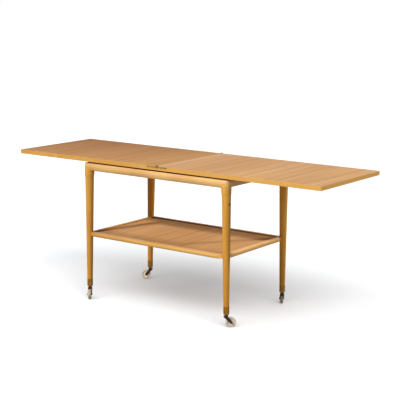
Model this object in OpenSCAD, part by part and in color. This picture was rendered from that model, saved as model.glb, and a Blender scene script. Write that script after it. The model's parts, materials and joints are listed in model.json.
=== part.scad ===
// Serving trolley with a two-leaf top, shown open. The left leaf folds over the right one on
// edge hinges, and the right leaf slides along guide rails until the folded stack is centred.
// X runs along the table, Y from front to back, Z up. The origin is on the floor under the seam.

/* [Top leaves] */
// Length of each leaf, along the table
leaf_l = 780; // [700:5:860]
// Width of the leaves, front to back
leaf_w = 475; // [440:5:540]
// Thickness of the leaves
leaf_t = 18; // [16:0.5:22]
// Height of the top surface above the floor
top_h = 633; // [600:1:680]
// Gap at the seam between the open leaves
seam_gap = 0.5; // [0.4:0.1:1]
// Thickness of the solid lipping round each leaf
lip_t = 8; // [7.5:0.5:12]
// Radius of the rounded lipping edges
lip_r = 0.8; // [0.5:0.1:2]
// Distance from the seam back to the middle of the frame
seam_offset = 24; // [12:1:40]

/* [Top frame] */
// Open gap between the leaves and the rails under them
leaf_lift = 5; // [3:0.5:6]
// How far the leg heads stand in from the leaves' long edges
side_inset = 0.5; // [0.3:0.1:6]
// How far the folded stack overhangs the leg heads at each end
end_overhang = 9; // [4:1:20]
// Height of the top rails
rail_h = 34; // [28:1:42]
// Thickness of the top rails
rail_d = 22; // [20:1:26]
// Radius of the top rails' bulged face
rail_bulge_r = 24; // [22:1:40]
// Radius of the top rails' outer edges
rail_edge_r = 4; // [2:0.5:5]
// How far the end rails are set back from the leg heads' outer faces
end_setback = 6; // [4:1:17]
// Radius of the cove where a top rail meets a leg head
cove_r = 3; // [3:1:12]
// Thickness of the rail tenons
tenon_t = 8; // [6:0.5:10]
// Height of the rail tenons
tenon_h = 22; // [16:1:24]
// Length of the rail tenons
tenon_l = 15; // [10:1:16]

/* [Legs] */
// Width of the squared leg heads
head_w = 40; // [38:1:44]
// Rounding of the leg heads' upright corners
head_r = 18; // [6:0.5:18.5]
// Rounding of the leg heads' top edges at the trolley's ends
head_edge_r = 12; // [4:0.5:13]
// Radius that the leg's taper would have at the frame's top
leg_r_top = 20; // [18:0.1:20]
// Radius of the leg at its foot
leg_r_foot = 11.7; // [11.2:0.1:14]
// Height of the leg's foot above the floor
foot_z = 55.5; // [53:0.5:62]
// How far the foot stands outwards of the head, along the table
splay_x = 6; // [0:0.5:10]
// How far the foot stands inwards of the head, front to back
lean_y = 2.5; // [0:0.5:6]
// Length below the rails over which the head is turned down to the leg's taper
shoulder_l = 37; // [30:1:70]

/* [Lower shelf] */
// Height of the shelf rails' middle above the floor
shelf_z = 293; // [230:1:360]
// Height of the shelf rails
shelf_rail_h = 18; // [16:1:22]
// Thickness of the long shelf rails
shelf_rail_d = 20; // [18:1:24]
// Thickness of the end shelf rails
shelf_end_d = 18; // [16:1:22]
// Radius of the shelf rails' bulged face
shelf_bulge_r = 12; // [11.5:0.5:14]
// Radius of the shelf rails' outer edges
shelf_edge_r = 3; // [2:0.5:4]
// How far the end shelf rails' faces stand out from the legs' middle
shelf_end_out = 1.5; // [0:0.5:4]
// Length over which a shelf rail narrows to meet a leg
taper_run = 34; // [20:1:50]
// How much the long shelf rails' faces draw in at the legs
face_in = 7; // [3:0.5:9]
// How much the end shelf rails' faces draw in at the legs
end_face_in = 4; // [3:0.5:5]
// How much the shelf rails' lower edges rise at the legs
under_in = 2.5; // [1:0.5:3]
// Radius of the round tenons on the shelf rails
dowel_r = 5; // [4:0.5:5]
// Thickness of the shelf panel
shelf_t = 9; // [8:0.5:9]
// How far the shelf panel lies below the rails' tops
shelf_sink = 5; // [3.5:0.5:6]
// Depth of the panel grooves in the shelf rails
groove_d = 6; // [4:0.5:8]
// Open gap between a leg and the panel's notched corner
notch_gap = 4; // [2:0.5:8]

/* [Sliding gear] */
// Distance from the middle of the trolley to the middle of each guide rail
guide_y = 140; // [100:1:165]
// Thickness of the guide rails
guide_d = 24; // [20:1:30]
// Width of the runners under the sliding leaf
runner_w = 22; // [18:1:28]
// Height of the runners
runner_h = 26; // [24:1:30]
// Height of the runners' tongues
tongue_h = 8; // [6:0.5:10]
// How far the tongues reach into the guide rails
tongue_d = 6; // [4:0.5:8]
// Depth from the rails' top down to the middle of the grooves
tongue_drop = 12; // [10:0.5:14]
// Width of the slip strips on the guide rails
strip_w = 14; // [8:1:20]
// Clearance between the slip strips and the leaves
strip_gap = 0.2; // [0.1:0.05:0.3]
// Sliding clearance all round the tongues
slide_gap = 0.3; // [0.2:0.1:0.6]
// Clearance left between a runner's end and its stop
stop_gap = 0.3; // [0.2:0.1:1]
// Shank radius of the runner screws
screw_r = 2; // [1.5:0.25:2.5]
// Head radius of the runner screws
screw_head_r = 4; // [3.5:0.25:4.5]
// How far the runner screws reach into the leaf
screw_bite = 11; // [8:0.5:13]
// Number of screws in each runner
runner_screws_n = 4; // [3:1:6]

/* [Edge hinges] */
// Length of each hinge plate
plate_l = 52; // [30:1:60]
// Height of the hinge plates
plate_h = 8; // [7:0.5:9]
// Thickness of the hinge plates
plate_t = 2; // [1.6:0.1:2.4]
// Depth of the plates' upper edge below the top surface
plate_drop = 1.5; // [1:0.1:2]
// Outer radius of the hinge eyes
eye_r = 3.6; // [3.2:0.1:4]
// Width of each hinge eye
eye_w = 3.6; // [3:0.1:4]
// Radius of the hinge pins
pin_r = 1.5; // [1.2:0.1:1.8]
// Height of the pin's axis above the top surface
pin_rise = 0.1; // [0.05:0.05:0.3]
// Shank radius of the hinge screws
hinge_screw_r = 1.1; // [0.9:0.1:1.3]
// Head radius of the hinge screws
hinge_head_r = 2.3; // [2:0.1:2.6]
// Length of the hinge screws
hinge_screw_l = 16; // [12:1:20]

/* [Castors] */
// Radius of the wheels
wheel_r = 21.5; // [19:0.5:23]
// Width of the wheels
wheel_w = 13; // [11:0.5:15]
// Radius where the tyre sits on the hub
hub_r = 14; // [11:0.5:16]
// Distance from the stem's axis back to the axle
trail = 19; // [17:0.5:22]
// Radius of the axles
axle_r = 2.5; // [2:0.1:3]
// Thickness of the horn's arms
arm_t = 2.2; // [1.8:0.1:3]
// Radius of the arms' round ends at the axle
boss_r = 5.5; // [5:0.5:7]
// Radius of the arms' round ends at the neck
arm_r = 6.5; // [5.5:0.5:7]
// Radius of the horn's neck under the leg
neck_r = 7; // [6.5:0.5:8]
// Height of the horn's tapered neck
neck_h = 8; // [6:0.5:9]
// Height of the horn's crown, below the neck
crown_h = 6; // [5:0.5:7]
// Radius of the castor stems
stem_r = 4; // [3.5:0.1:4.5]
// How far the stems reach up into the legs
stem_up = 32; // [26:1:34]
// Wall of the stem sockets
socket_wall = 1.4; // [1:0.1:2]
// Thickness of the sockets' rims
rim_t = 1.2; // [0.8:0.1:1.6]
// Shank radius of the rivets that hold the stems in the horns
rivet_r = 1.5; // [1.2:0.1:1.8]
// Head radius of the rivets
rivet_head_r = 3.2; // [2.8:0.1:3.4]
// Rounding of the tyres' shoulders
tread_r = 4; // [3:0.5:5]
// How far the tyres stand out past the hub disc on each side
tyre_proud = 1.5; // [1:0.5:2.5]
// Height of the brass ferrules
ferrule_h = 33; // [24:1:40]
// Wall of the brass ferrules
ferrule_t = 1.2; // [0.8:0.1:1.6]
// How far the ferrules stand proud of the legs
ferrule_proud = 0.4; // [0.2:0.1:0.8]
// Direction of the front left castor, from +X towards +Y
trail_fl = -54; // [-180:1:180]
// Direction of the front right castor
trail_fr = 48; // [-180:1:180]
// Direction of the back left castor
trail_bl = 216; // [-180:1:360]
// Direction of the back right castor
trail_br = 126; // [-180:1:180]

/* [Fits] */
// Glue-line clearance of the joints in the woodwork
glue_gap = 0.1; // [0.05:0.05:0.2]
// Clearance round screws, pins and sockets that stay put
seat_gap = 0.05; // [0.02:0.01:0.1]
// Running clearance on a radius, for pins and stems that turn
run_gap = 0.06; // [0.03:0.01:0.1]
// Side clearance between parts that turn past each other
side_gap = 0.4; // [0.3:0.1:0.6]

/* [Hidden] */
$fn = 64;
BIG_FN = 240;

WOOD = [0.80, 0.58, 0.30];
VENEER = [0.82, 0.63, 0.44];
BRASS = [0.46, 0.35, 0.16];
DARK = [0.22, 0.18, 0.13];
CREAM = [0.86, 0.78, 0.68];

LEFT = -1;
RIGHT = 1;
FRONT = -1;
BACK = 1;
SIDES = [FRONT, BACK];
past = 1;
// How far a link's flanks lie inside its round ends, so that they cross
link_inset = 0.02;

leaf_z = top_h - leaf_t;
frame_top = leaf_z - leaf_lift;
rail_z = frame_top - rail_h / 2;
rail_bottom = frame_top - rail_h;
head_x = leaf_l / 2 - end_overhang - head_w / 2;
head_y = leaf_w / 2 - side_inset - head_w / 2;
head_in_x = head_x - head_w / 2;
head_in_y = head_y - head_w / 2;
leg_fall = frame_top - foot_z;
shelf_top = shelf_z + shelf_rail_h / 2 - shelf_sink;
shelf_under = shelf_top - shelf_t;

function leg_x(z) = head_x + splay_x * (frame_top - z) / leg_fall;
function leg_y(z) = head_y - lean_y * (frame_top - z) / leg_fall;
function leg_r(z) = leg_r_foot + (leg_r_top - leg_r_foot) * (z - foot_z) / leg_fall;

// The trolley's frame is centred behind the seam
module on_frame() {
  translate([-seam_offset, 0, 0]) children();
}

// Places a part made for the back right corner at any corner of the frame
module at_corner(sx, sy) {
  on_frame()
    mirror([sx < 0 ? 1 : 0, 0, 0])
      mirror([0, sy < 0 ? 1 : 0, 0])
        children();
}

module on_side(sy) {
  mirror([0, sy < 0 ? 1 : 0, 0]) children();
}

module on_end(sx) {
  mirror([sx < 0 ? 1 : 0, 0, 0]) children();
}

// Turns an outline drawn as (Y, Z) into a bar along X, centred
module along_x(length) {
  rotate([90, 0, 90]) linear_extrude(length, center = true) children();
}

// Turns an outline drawn as (X, Z) into a bar along Y, centred
module along_y(length) {
  rotate([90, 0, 0]) linear_extrude(length, center = true) children();
}

// Section of a rail: flat inner side at x = 0, bulged outer side at x = depth
module rail_section(depth, height, bulge_r, edge_r) {
  bulge_x = depth - bulge_r;
  edge_y = height / 2 - edge_r;
  edge_x = bulge_x + sqrt(pow(bulge_r - edge_r, 2) - pow(edge_y, 2));
  tangent_y = edge_y * bulge_r / (bulge_r - edge_r);
  intersection() {
    translate([bulge_x, 0]) circle(r = bulge_r, $fn = BIG_FN);
    translate([0, -tangent_y]) square([depth + past, 2 * tangent_y]);
  }
  for (side = [-1, 1]) translate([edge_x, side * edge_y]) circle(r = edge_r);
  translate([0, -height / 2]) square([edge_x, height]);
}

// What is cut off a rail's upper edge so that it draws in on a curve towards both ends, with
// the rail's length along x
module drawn_ends(half_l, edge, draw_in) {
  start = half_l - taper_run;
  steps = 5;
  for (end = [LEFT, RIGHT]) on_end(end) polygon(concat(
    [for (i = [0:steps])
      [start + taper_run * i / steps, edge - draw_in * pow(i / steps, 2)]],
    [[half_l + 2 * past, edge - draw_in], [half_l + 2 * past, edge + past],
      [start, edge + past]]
  ));
}

// Outline with all four corners rounded, centred
module soft_square(w, h, r) {
  translate([-w / 2 + r, -h / 2]) square([w - 2 * r, h]);
  translate([-w / 2, -h / 2 + r]) square([w, h - 2 * r]);
  for (x = [-1, 1], y = [-1, 1]) translate([x * (w / 2 - r), y * (h / 2 - r)]) circle(r = r);
}

// Outline of a tapered bar with round ends, from circle to circle
module round_link(a, ra, b, rb) {
  run = b - a;
  dist = norm(run);
  heading = atan2(run[1], run[0]);
  swing = acos((ra - rb) / dist);
  flank_a = ra - link_inset;
  flank_b = rb - link_inset;
  translate(a) circle(r = ra);
  translate(b) circle(r = rb);
  polygon([
    a + flank_a * [cos(heading + swing), sin(heading + swing)],
    a + flank_a * [cos(heading - swing), sin(heading - swing)],
    b + flank_b * [cos(heading - swing), sin(heading - swing)],
    b + flank_b * [cos(heading + swing), sin(heading + swing)]
  ]);
}

// Legs

// Stands a turned part on the leg's leaning axis, in the back right corner
module on_leg_axis() {
  fall = [-splay_x, lean_y, leg_fall];
  translate([head_x, head_y, frame_top])
    rotate([0, acos(fall[2] / norm(fall)), atan2(fall[1], fall[0])])
      translate([0, 0, -frame_top])
        children();
}

// Space that the tapered leg takes up between two heights
module leg_core(z0, z1, gap) {
  on_leg_axis()
    translate([0, 0, z0])
      cylinder(h = z1 - z0, r1 = leg_r(z0) + gap, r2 = leg_r(z1) + gap);
}

round_z = rail_bottom - shoulder_l;
head_reach = head_w * sqrt(1 / 2) + past / 2;
ferrule_top = foot_z + ferrule_h;
spigot_z = foot_z + ferrule_t + glue_gap;
rim_z = foot_z - rim_t - glue_gap;

// The leg as the lathe leaves it: spigot, taper and the shoulder that runs out on the head
module turned_leg() {
  rise = head_reach - leg_r(round_z);
  sweep_r = (pow(shoulder_l, 2) + pow(rise, 2)) / (2 * rise);
  steps = 8;
  spigot_r0 = leg_r(foot_z) + ferrule_proud - ferrule_t - glue_gap;
  spigot_r1 = leg_r(ferrule_top) + ferrule_proud - ferrule_t - glue_gap;
  on_leg_axis() rotate_extrude(convexity = 4) polygon(concat(
    [[0, spigot_z], [spigot_r0, spigot_z], [spigot_r1, ferrule_top + glue_gap]],
    [[leg_r(ferrule_top), ferrule_top + glue_gap]],
    [for (i = [0:steps])
      let (z = shoulder_l * i / steps)
      [leg_r(round_z) + sweep_r - sqrt(pow(sweep_r, 2) - pow(z, 2)), round_z + z]],
    [[head_w, rail_bottom], [head_w, frame_top + past], [0, frame_top + past]]
  ));
}

// Section of a rail's upper half carried on down, for the thumb-rounded head
module thumb_outline(edge_r) {
  translate([0, rail_z]) rail_section(head_w, rail_h, rail_bulge_r, edge_r);
  translate([0, foot_z - past]) square([head_w, rail_z - foot_z + past]);
}

// Quarter turn of a rail's lower half, from the rail down on to the leg, along X
module cove_x(y_in) {
  translate([head_in_x - cove_r, y_in, rail_bottom - cove_r])
    rotate([-90, 0, 0]) rotate([0, 0, -90]) rotate_extrude(angle = 90)
      intersection() {
        translate([cove_r + rail_h / 2, 0]) mirror([1, -1])
          rail_section(rail_d, rail_h, rail_bulge_r, rail_edge_r);
        translate([cove_r, 0]) square([rail_h / 2, rail_d + past]);
      }
}

// The same quarter turn for a rail that runs along Y
module cove_y(x_in) {
  mirror([1, -1, 0])
    translate([head_in_y - head_in_x, 0, 0])
      cove_x(x_in);
}

long_rail_in = head_y + head_w / 2 - rail_d;
end_rail_in = head_x + head_w / 2 - end_setback - rail_d;

// Part of a rail's section that belongs to the leg head, so rail and head run flush
module head_stubs() {
  translate([head_x - head_w / 4, long_rail_in, rail_z])
    along_x(head_w / 2) rail_section(rail_d, rail_h, rail_bulge_r, rail_edge_r);
  intersection() {
    cove_x(long_rail_in);
    translate([head_in_x, 0, 0]) cube([head_w / 2, 2 * head_y, frame_top]);
  }
  translate([end_rail_in, head_y - head_w / 4, rail_z])
    along_y(head_w / 2) rail_section(rail_d, rail_h, rail_bulge_r, rail_edge_r);
  intersection() {
    cove_y(end_rail_in);
    translate([0, head_in_y, 0]) cube([2 * head_x, head_w / 2, frame_top]);
  }
}

module leg_blank() {
  intersection() {
    union() {
      translate([head_x, head_y, round_z])
        linear_extrude(frame_top - round_z) soft_square(head_w, head_w, head_r);
      translate([head_x - head_w, head_y - head_w, 0]) cube([2 * head_w, 2 * head_w, round_z]);
      head_stubs();
    }
    turned_leg();
    translate([head_x, head_in_y, 0]) along_x(2 * head_w) thumb_outline(rail_edge_r);
    translate([head_in_x, head_y, 0]) along_y(2 * head_w) thumb_outline(head_edge_r);
  }
}

long_tenon_y = long_rail_in + rail_d / 2;
end_tenon_x = end_rail_in + rail_d / 2;
dowel_y = leg_y(shelf_z) + dowel_r / 2;
dowel_x = leg_x(shelf_z) - dowel_r;
dowel_tip_x = leg_x(shelf_z) - dowel_r / 2;
dowel_tip_y = dowel_y - 2 * dowel_r + past;
socket_r = stem_r + run_gap + socket_wall;
socket_top = foot_z + stem_up + 2 * past;

// Tenon of a long rail, and with a gap the mortise for it
module long_tenon(gap) {
  translate([head_in_x - past, long_tenon_y - tenon_t / 2 - gap, rail_z - tenon_h / 2 - gap])
    cube([tenon_l + past + gap, tenon_t + 2 * gap, tenon_h + 2 * gap]);
}

module end_tenon(gap) {
  translate([end_tenon_x - tenon_t / 2 - gap, head_in_y - past, rail_z - tenon_h / 2 - gap])
    cube([tenon_t + 2 * gap, tenon_l + past + gap, tenon_h + 2 * gap]);
}

// Round tenon of a long shelf rail, and with a gap the hole for it
module long_dowel(gap) {
  start = leg_x(shelf_z) - leg_r(shelf_z) - notch_gap + past / 2;
  translate([start, dowel_y, shelf_z])
    rotate([0, 90, 0]) cylinder(h = dowel_tip_x - start + gap, r = dowel_r + gap);
}

module end_dowel(gap) {
  start = leg_y(shelf_z) - leg_r(shelf_z) - 2 * dowel_r;
  translate([dowel_x, start, shelf_z])
    rotate([-90, 0, 0]) cylinder(h = dowel_tip_y - start + gap, r = dowel_r + gap);
}

module at_foot() {
  translate([leg_x(foot_z), leg_y(foot_z), 0]) children();
}

module leg(sx, sy) {
  color(WOOD) at_corner(sx, sy) difference() {
    leg_blank();
    long_tenon(glue_gap);
    end_tenon(glue_gap);
    long_dowel(glue_gap);
    end_dowel(glue_gap);
    at_foot() cylinder(h = socket_top + glue_gap, r = socket_r + seat_gap);
  }
}

// A cup with a hole in its floor for the castor's socket
module ferrule(sx, sy) {
  outer0 = leg_r(foot_z) + ferrule_proud;
  outer1 = leg_r(ferrule_top) + ferrule_proud;
  floor_z = foot_z + ferrule_t;
  color(BRASS) at_corner(sx, sy) on_leg_axis() rotate_extrude() polygon([
    [socket_r + seat_gap, foot_z], [outer0, foot_z], [outer1, ferrule_top - ferrule_proud],
    [outer1 - ferrule_proud, ferrule_top], [outer1 - ferrule_t, ferrule_top],
    [outer0 - ferrule_t, floor_z], [socket_r + seat_gap, floor_z]
  ]);
}

module castor_sockets() {
  color(BRASS) for (sx = [LEFT, RIGHT], sy = SIDES) at_corner(sx, sy) at_foot() difference() {
    union() {
      translate([0, 0, rim_z]) cylinder(h = rim_t, r = socket_r + rim_t);
      translate([0, 0, rim_z]) cylinder(h = socket_top - rim_z, r = socket_r);
    }
    cylinder(h = socket_top + past, r = stem_r + run_gap);
  }
}

// Top frame

module long_top_rail(sy) {
  color(WOOD) on_frame() on_side(sy) {
    translate([0, long_rail_in, rail_z])
      along_x(2 * head_in_x) rail_section(rail_d, rail_h, rail_bulge_r, rail_edge_r);
    for (end = [LEFT, RIGHT]) on_end(end) {
      intersection() {
        cove_x(long_rail_in);
        cube([head_in_x, 2 * head_y, rail_z]);
      }
      long_tenon(0);
    }
  }
}

guide_in = guide_y - guide_d / 2;
guide_tenon_l = rail_d / 2;

module guide_tenons(gap) {
  for (sy = SIDES) on_side(sy)
    translate([end_rail_in - past, guide_y - tenon_t / 2 - gap, rail_z - tenon_h / 2 - gap])
      cube([guide_tenon_l + past + gap, tenon_t + 2 * gap, tenon_h + 2 * gap]);
}

module end_top_rail(sx) {
  color(WOOD) on_frame() on_end(sx) difference() {
    union() {
      translate([end_rail_in, 0, rail_z])
        along_y(2 * head_in_y) rail_section(rail_d, rail_h, rail_bulge_r, rail_edge_r);
      for (sy = SIDES) on_side(sy) {
        intersection() {
          cove_y(end_rail_in);
          cube([2 * head_x, head_in_y, rail_z]);
        }
        end_tenon(0);
      }
    }
    guide_tenons(glue_gap);
  }
}

tongue_z = frame_top - tongue_drop;

module guide_rail(sy) {
  color(WOOD) on_frame() on_side(sy) {
    difference() {
      translate([-end_rail_in, guide_in, rail_bottom]) cube([2 * end_rail_in, guide_d, rail_h]);
      translate([-end_rail_in - past, guide_in - past, tongue_z - tongue_h / 2 - slide_gap])
        cube([2 * (end_rail_in + past), tongue_d + slide_gap + past, tongue_h + 2 * slide_gap]);
    }
    for (end = [LEFT, RIGHT]) on_end(end) intersection() {
      guide_tenons(0);
      translate([0, guide_in, 0]) cube([2 * head_x, guide_d, frame_top]);
    }
  }
}

module slip_strips() {
  color(WOOD) on_frame() for (sy = SIDES) on_side(sy)
    translate([-end_rail_in, guide_y - strip_w / 2, frame_top])
      cube([2 * end_rail_in, strip_w, leaf_lift - strip_gap]);
}

// Lower shelf

shelf_face_y = leg_y(shelf_z) + leg_r(shelf_z);
shelf_face_x = leg_x(shelf_z) + shelf_end_out;
shelf_in_y = shelf_face_y - shelf_rail_d;
shelf_in_x = shelf_face_x - shelf_end_d;
shelf_low = shelf_z - shelf_rail_h / 2;
shelf_high = shelf_z + shelf_rail_h / 2;

// Groove that holds the panel's edge, cut past a rail's inner face
module panel_groove() {
  half_x = shelf_in_x + groove_d;
  half_y = shelf_in_y + groove_d;
  translate([-half_x, -half_y, shelf_under]) cube([2 * half_x, 2 * half_y, shelf_t + glue_gap]);
}

module leg_copes() {
  for (sx = [LEFT, RIGHT], sy = SIDES) on_end(sx) on_side(sy)
    leg_core(shelf_low - 2 * past, shelf_high + 2 * past, glue_gap);
}

// A shelf rail along X, its face drawn in and its lower edge raised towards both ends
module drawn_rail(half_l, face, depth, draw_in) {
  difference() {
    translate([0, face - depth, shelf_z]) along_x(2 * half_l)
      rail_section(depth, shelf_rail_h, shelf_bulge_r, shelf_edge_r);
    translate([0, 0, shelf_low - past]) linear_extrude(shelf_rail_h + 2 * past)
      drawn_ends(half_l, face, draw_in);
    translate([0, face, 0]) along_y(2 * face)
      mirror([0, 1]) drawn_ends(half_l, -shelf_low, under_in);
  }
}

module long_shelf_rail(sy) {
  half_l = leg_x(shelf_z) - leg_r(shelf_z) + past;
  color(WOOD) on_frame() on_side(sy) {
    difference() {
      drawn_rail(half_l, shelf_face_y, shelf_rail_d, face_in);
      panel_groove();
      leg_copes();
    }
    for (end = [LEFT, RIGHT]) on_end(end) long_dowel(0);
  }
}

module end_shelf_rail(sx) {
  half_l = leg_y(shelf_z) - leg_r(shelf_z) + 2 * past;
  color(WOOD) on_frame() on_end(sx) {
    difference() {
      mirror([1, -1, 0]) drawn_rail(half_l, shelf_face_x, shelf_end_d, end_face_in);
      panel_groove();
      leg_copes();
    }
    for (side = SIDES) on_side(side) end_dowel(0);
  }
}

module shelf_panel() {
  half_x = shelf_in_x + groove_d - glue_gap;
  half_y = shelf_in_y + groove_d - glue_gap;
  notch_x = leg_x(shelf_z) - leg_r(shelf_z) - notch_gap;
  notch_y = leg_y(shelf_z) - leg_r(shelf_z) - notch_gap;
  color(VENEER) on_frame() difference() {
    translate([-half_x, -half_y, shelf_under]) cube([2 * half_x, 2 * half_y, shelf_t]);
    for (sx = [LEFT, RIGHT], sy = SIDES) on_end(sx) on_side(sy)
      translate([notch_x, notch_y, shelf_under - past])
        cube([half_x, half_y, shelf_t + 2 * past]);
  }
}

// Leaves, drawn as the right one, with the seam at the left

leaf_start = seam_gap / 2;

module leaf_board() {
  translate([leaf_start + leaf_l / 2, 0, leaf_z + leaf_t / 2]) intersection() {
    along_x(leaf_l) soft_square(leaf_w, leaf_t, lip_r);
    along_y(leaf_w) soft_square(leaf_l, leaf_t, lip_r);
    linear_extrude(leaf_t, center = true) soft_square(leaf_l, leaf_w, lip_r);
  }
}

module leaf_core() {
  translate([leaf_start + lip_t, -leaf_w / 2 + lip_t, leaf_z])
    cube([leaf_l - 2 * lip_t, leaf_w - 2 * lip_t, leaf_t]);
}

// The four lipping strips, the long ones running through to the corners
module leaf_lipping() {
  intersection() {
    leaf_board();
    union() {
      for (sy = SIDES) on_side(sy)
        translate([0, leaf_w / 2 - lip_t, leaf_z - past])
          cube([leaf_l + 2 * leaf_start, lip_t + past, leaf_t + 2 * past]);
      for (x = [0, leaf_start + leaf_l - lip_t])
        translate([x, -leaf_w / 2 + lip_t + glue_gap, leaf_z - past])
          cube([
            lip_t + (x == 0 ? leaf_start : past),
            leaf_w - 2 * (lip_t + glue_gap),
            leaf_t + 2 * past
          ]);
    }
  }
}

// Runners under the right leaf

slide_travel = leaf_start + leaf_l / 2 + seam_offset;
runner_end = end_rail_in - seam_offset - stop_gap;
runner_start = slide_travel - end_rail_in - seam_offset + stop_gap;
runner_l = runner_end - runner_start;
runner_side = guide_in - slide_gap;
runner_y = runner_side - runner_w / 2;
runner_z = leaf_z - runner_h;
screw_pitch = runner_l / runner_screws_n;

module at_runner_screws() {
  for (i = [0:runner_screws_n - 1])
    translate([runner_start + screw_pitch * (i + 0.5), runner_y, runner_z + past]) children();
}

// A countersunk wood screw, or with a gap the hole for it
module runner_screw(gap) {
  shank_l = runner_h - past + screw_bite;
  cone_h = screw_head_r - screw_r;
  cylinder(h = shank_l + gap, r = screw_r + gap);
  cylinder(h = cone_h + gap, r1 = screw_head_r + gap, r2 = screw_r + gap);
}

module runner(sy) {
  color(WOOD) on_side(sy) difference() {
    union() {
      translate([runner_start, runner_side - runner_w, runner_z])
        cube([runner_l, runner_w, runner_h]);
      translate([runner_start, runner_side - past, tongue_z - tongue_h / 2])
        cube([runner_l, tongue_d + past + slide_gap, tongue_h]);
    }
    at_runner_screws() {
      runner_screw(seat_gap);
      translate([0, 0, -2 * past]) cylinder(h = 2 * past, r = screw_head_r + seat_gap);
    }
  }
}

module runner_screws() {
  slot_w = 1;
  color(BRASS) for (sy = SIDES) on_side(sy) at_runner_screws() difference() {
    runner_screw(0);
    translate([-screw_head_r, -slot_w / 2, 0]) cube([2 * screw_head_r, slot_w, slot_w / 2]);
  }
}

// Edge hinges, drawn as the front one, in the right leaf's front edge

pin_z = top_h + pin_rise;
edge_y = -leaf_w / 2;
plate_low = top_h - plate_drop - plate_h;
near_eye = edge_y + seat_gap;
far_eye = near_eye + eye_w + side_gap / 2;
hinge_depth = 2 * eye_w + side_gap / 2;
neck_low = top_h - eye_r;
neck_l = lip_t - plate_t / 2;
eye_room = eye_r + side_gap;

module on_pin_axis(y) {
  translate([0, y, pin_z]) rotate([-90, 0, 0]) children();
}

// Strip let into the leaf's edge, from its inner end outwards
module plate_strip(start) {
  difference() {
    translate([start, near_eye, plate_low]) cube([plate_l - start, plate_t, plate_h]);
    at_hinge_screws() hinge_screw(seat_gap);
  }
}

module at_hinge_screws() {
  for (x = [plate_l / 2 - hinge_head_r, plate_l - plate_h])
    translate([x, near_eye + seat_gap, plate_low + plate_h / 2])
      rotate([-90, 0, 0]) children();
}

// Countersunk hinge screw, or with a gap the hole for it
module hinge_screw(gap) {
  cone_h = hinge_head_r - hinge_screw_r;
  cylinder(h = hinge_screw_l + gap, r = hinge_screw_r + gap);
  cylinder(h = cone_h + gap, r1 = hinge_head_r + gap, r2 = hinge_screw_r + gap);
  translate([0, 0, -gap - seat_gap]) cylinder(h = gap + seat_gap, r = hinge_head_r + gap);
}

// An eye on the pin with the neck that ties it to its plate
module hinge_eye(y) {
  difference() {
    union() {
      on_pin_axis(y) cylinder(h = eye_w, r = eye_r);
      translate([0, y, neck_low]) cube([neck_l, eye_w, top_h - plate_drop - neck_low]);
    }
    on_pin_axis(y - past) cylinder(h = eye_w + 2 * past, r = pin_r + run_gap);
  }
}

module near_plate() {
  difference() {
    union() {
      plate_strip(leaf_start);
      hinge_eye(near_eye);
    }
    on_pin_axis(near_eye - past) cylinder(h = eye_w + 2 * past, r = pin_r + run_gap);
  }
}

// The far plate steps back behind the near one's eye
module far_plate() {
  plate_strip(eye_room);
  hinge_eye(far_eye);
  translate([eye_room, near_eye, neck_low])
    cube([neck_l - eye_room, hinge_depth, top_h - plate_drop - neck_low]);
}

module hinge_pin() {
  head_t = 0.4;
  on_pin_axis(near_eye) cylinder(h = hinge_depth, r = pin_r);
  for (y = [near_eye - head_t, near_eye + hinge_depth])
    on_pin_axis(y) cylinder(h = head_t, r = pin_r + head_t);
}

// Everything cut from a leaf's edge to let a hinge in
module hinge_pocket() {
  room = side_gap / 2;
  translate([0, edge_y - past, plate_low - seat_gap])
    cube([plate_l + seat_gap, past + plate_t + 2 * seat_gap, plate_h + 2 * seat_gap]);
  translate([0, edge_y - past, neck_low - seat_gap])
    cube([neck_l + seat_gap, past + hinge_depth + room, eye_r + past]);
  on_pin_axis(edge_y - past) cylinder(h = past + hinge_depth + 2 * room + pin_r, r = eye_room);
  at_hinge_screws() hinge_screw(seat_gap);
}

module at_hinges() {
  for (sy = SIDES) mirror([0, sy > 0 ? 1 : 0, 0]) children();
}

module right_leaf_panel() {
  color(VENEER) difference() {
    leaf_core();
    at_hinges() hinge_pocket();
    for (sy = SIDES) on_side(sy) at_runner_screws() runner_screw(seat_gap);
  }
}

module leaf_lipping_cut() {
  difference() {
    leaf_lipping();
    at_hinges() hinge_pocket();
  }
}

module right_leaf_lipping() {
  color(WOOD) leaf_lipping_cut();
}

module left_leaf_panel() {
  color(VENEER) on_end(LEFT) difference() {
    leaf_core();
    at_hinges() hinge_pocket();
  }
}

module left_leaf_lipping() {
  color(WOOD) on_end(LEFT) leaf_lipping_cut();
}

module right_hinge_plate(sy) {
  color(BRASS) mirror([0, sy > 0 ? 1 : 0, 0]) near_plate();
}

module left_hinge_plate(sy) {
  color(BRASS) on_end(LEFT) mirror([0, sy > 0 ? 1 : 0, 0]) far_plate();
}

module hinge_pins() {
  color(BRASS) at_hinges() hinge_pin();
}

module hinge_screws(sx) {
  slot_w = 0.6;
  color(BRASS) on_end(sx) at_hinges() at_hinge_screws() difference() {
    hinge_screw(0);
    translate([-hinge_head_r, -slot_w / 2, -seat_gap])
      cube([2 * hinge_head_r, slot_w, slot_w]);
  }
}

// Castors, drawn with the stem on the Z axis and the wheel trailing towards +X

module at_castor(sx, sy, heading) {
  x = -seam_offset + sx * leg_x(foot_z);
  y = sy * leg_y(foot_z);
  translate([x, y, 0]) rotate([0, 0, heading]) children();
}

module on_axle() {
  translate([trail, 0, wheel_r]) rotate([90, 0, 0]) children();
}

arm_in = wheel_w / 2 + side_gap;
arm_out = arm_in + arm_t;
neck_top = rim_z - side_gap;
wheel_room = wheel_r + 2 * side_gap;
neck_z = neck_top - neck_h;
crown_z = neck_z - crown_h;
crown_r = arm_out - side_gap;
arm_z = neck_z - crown_h / 2;
rivet_z = neck_z + past;

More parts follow.
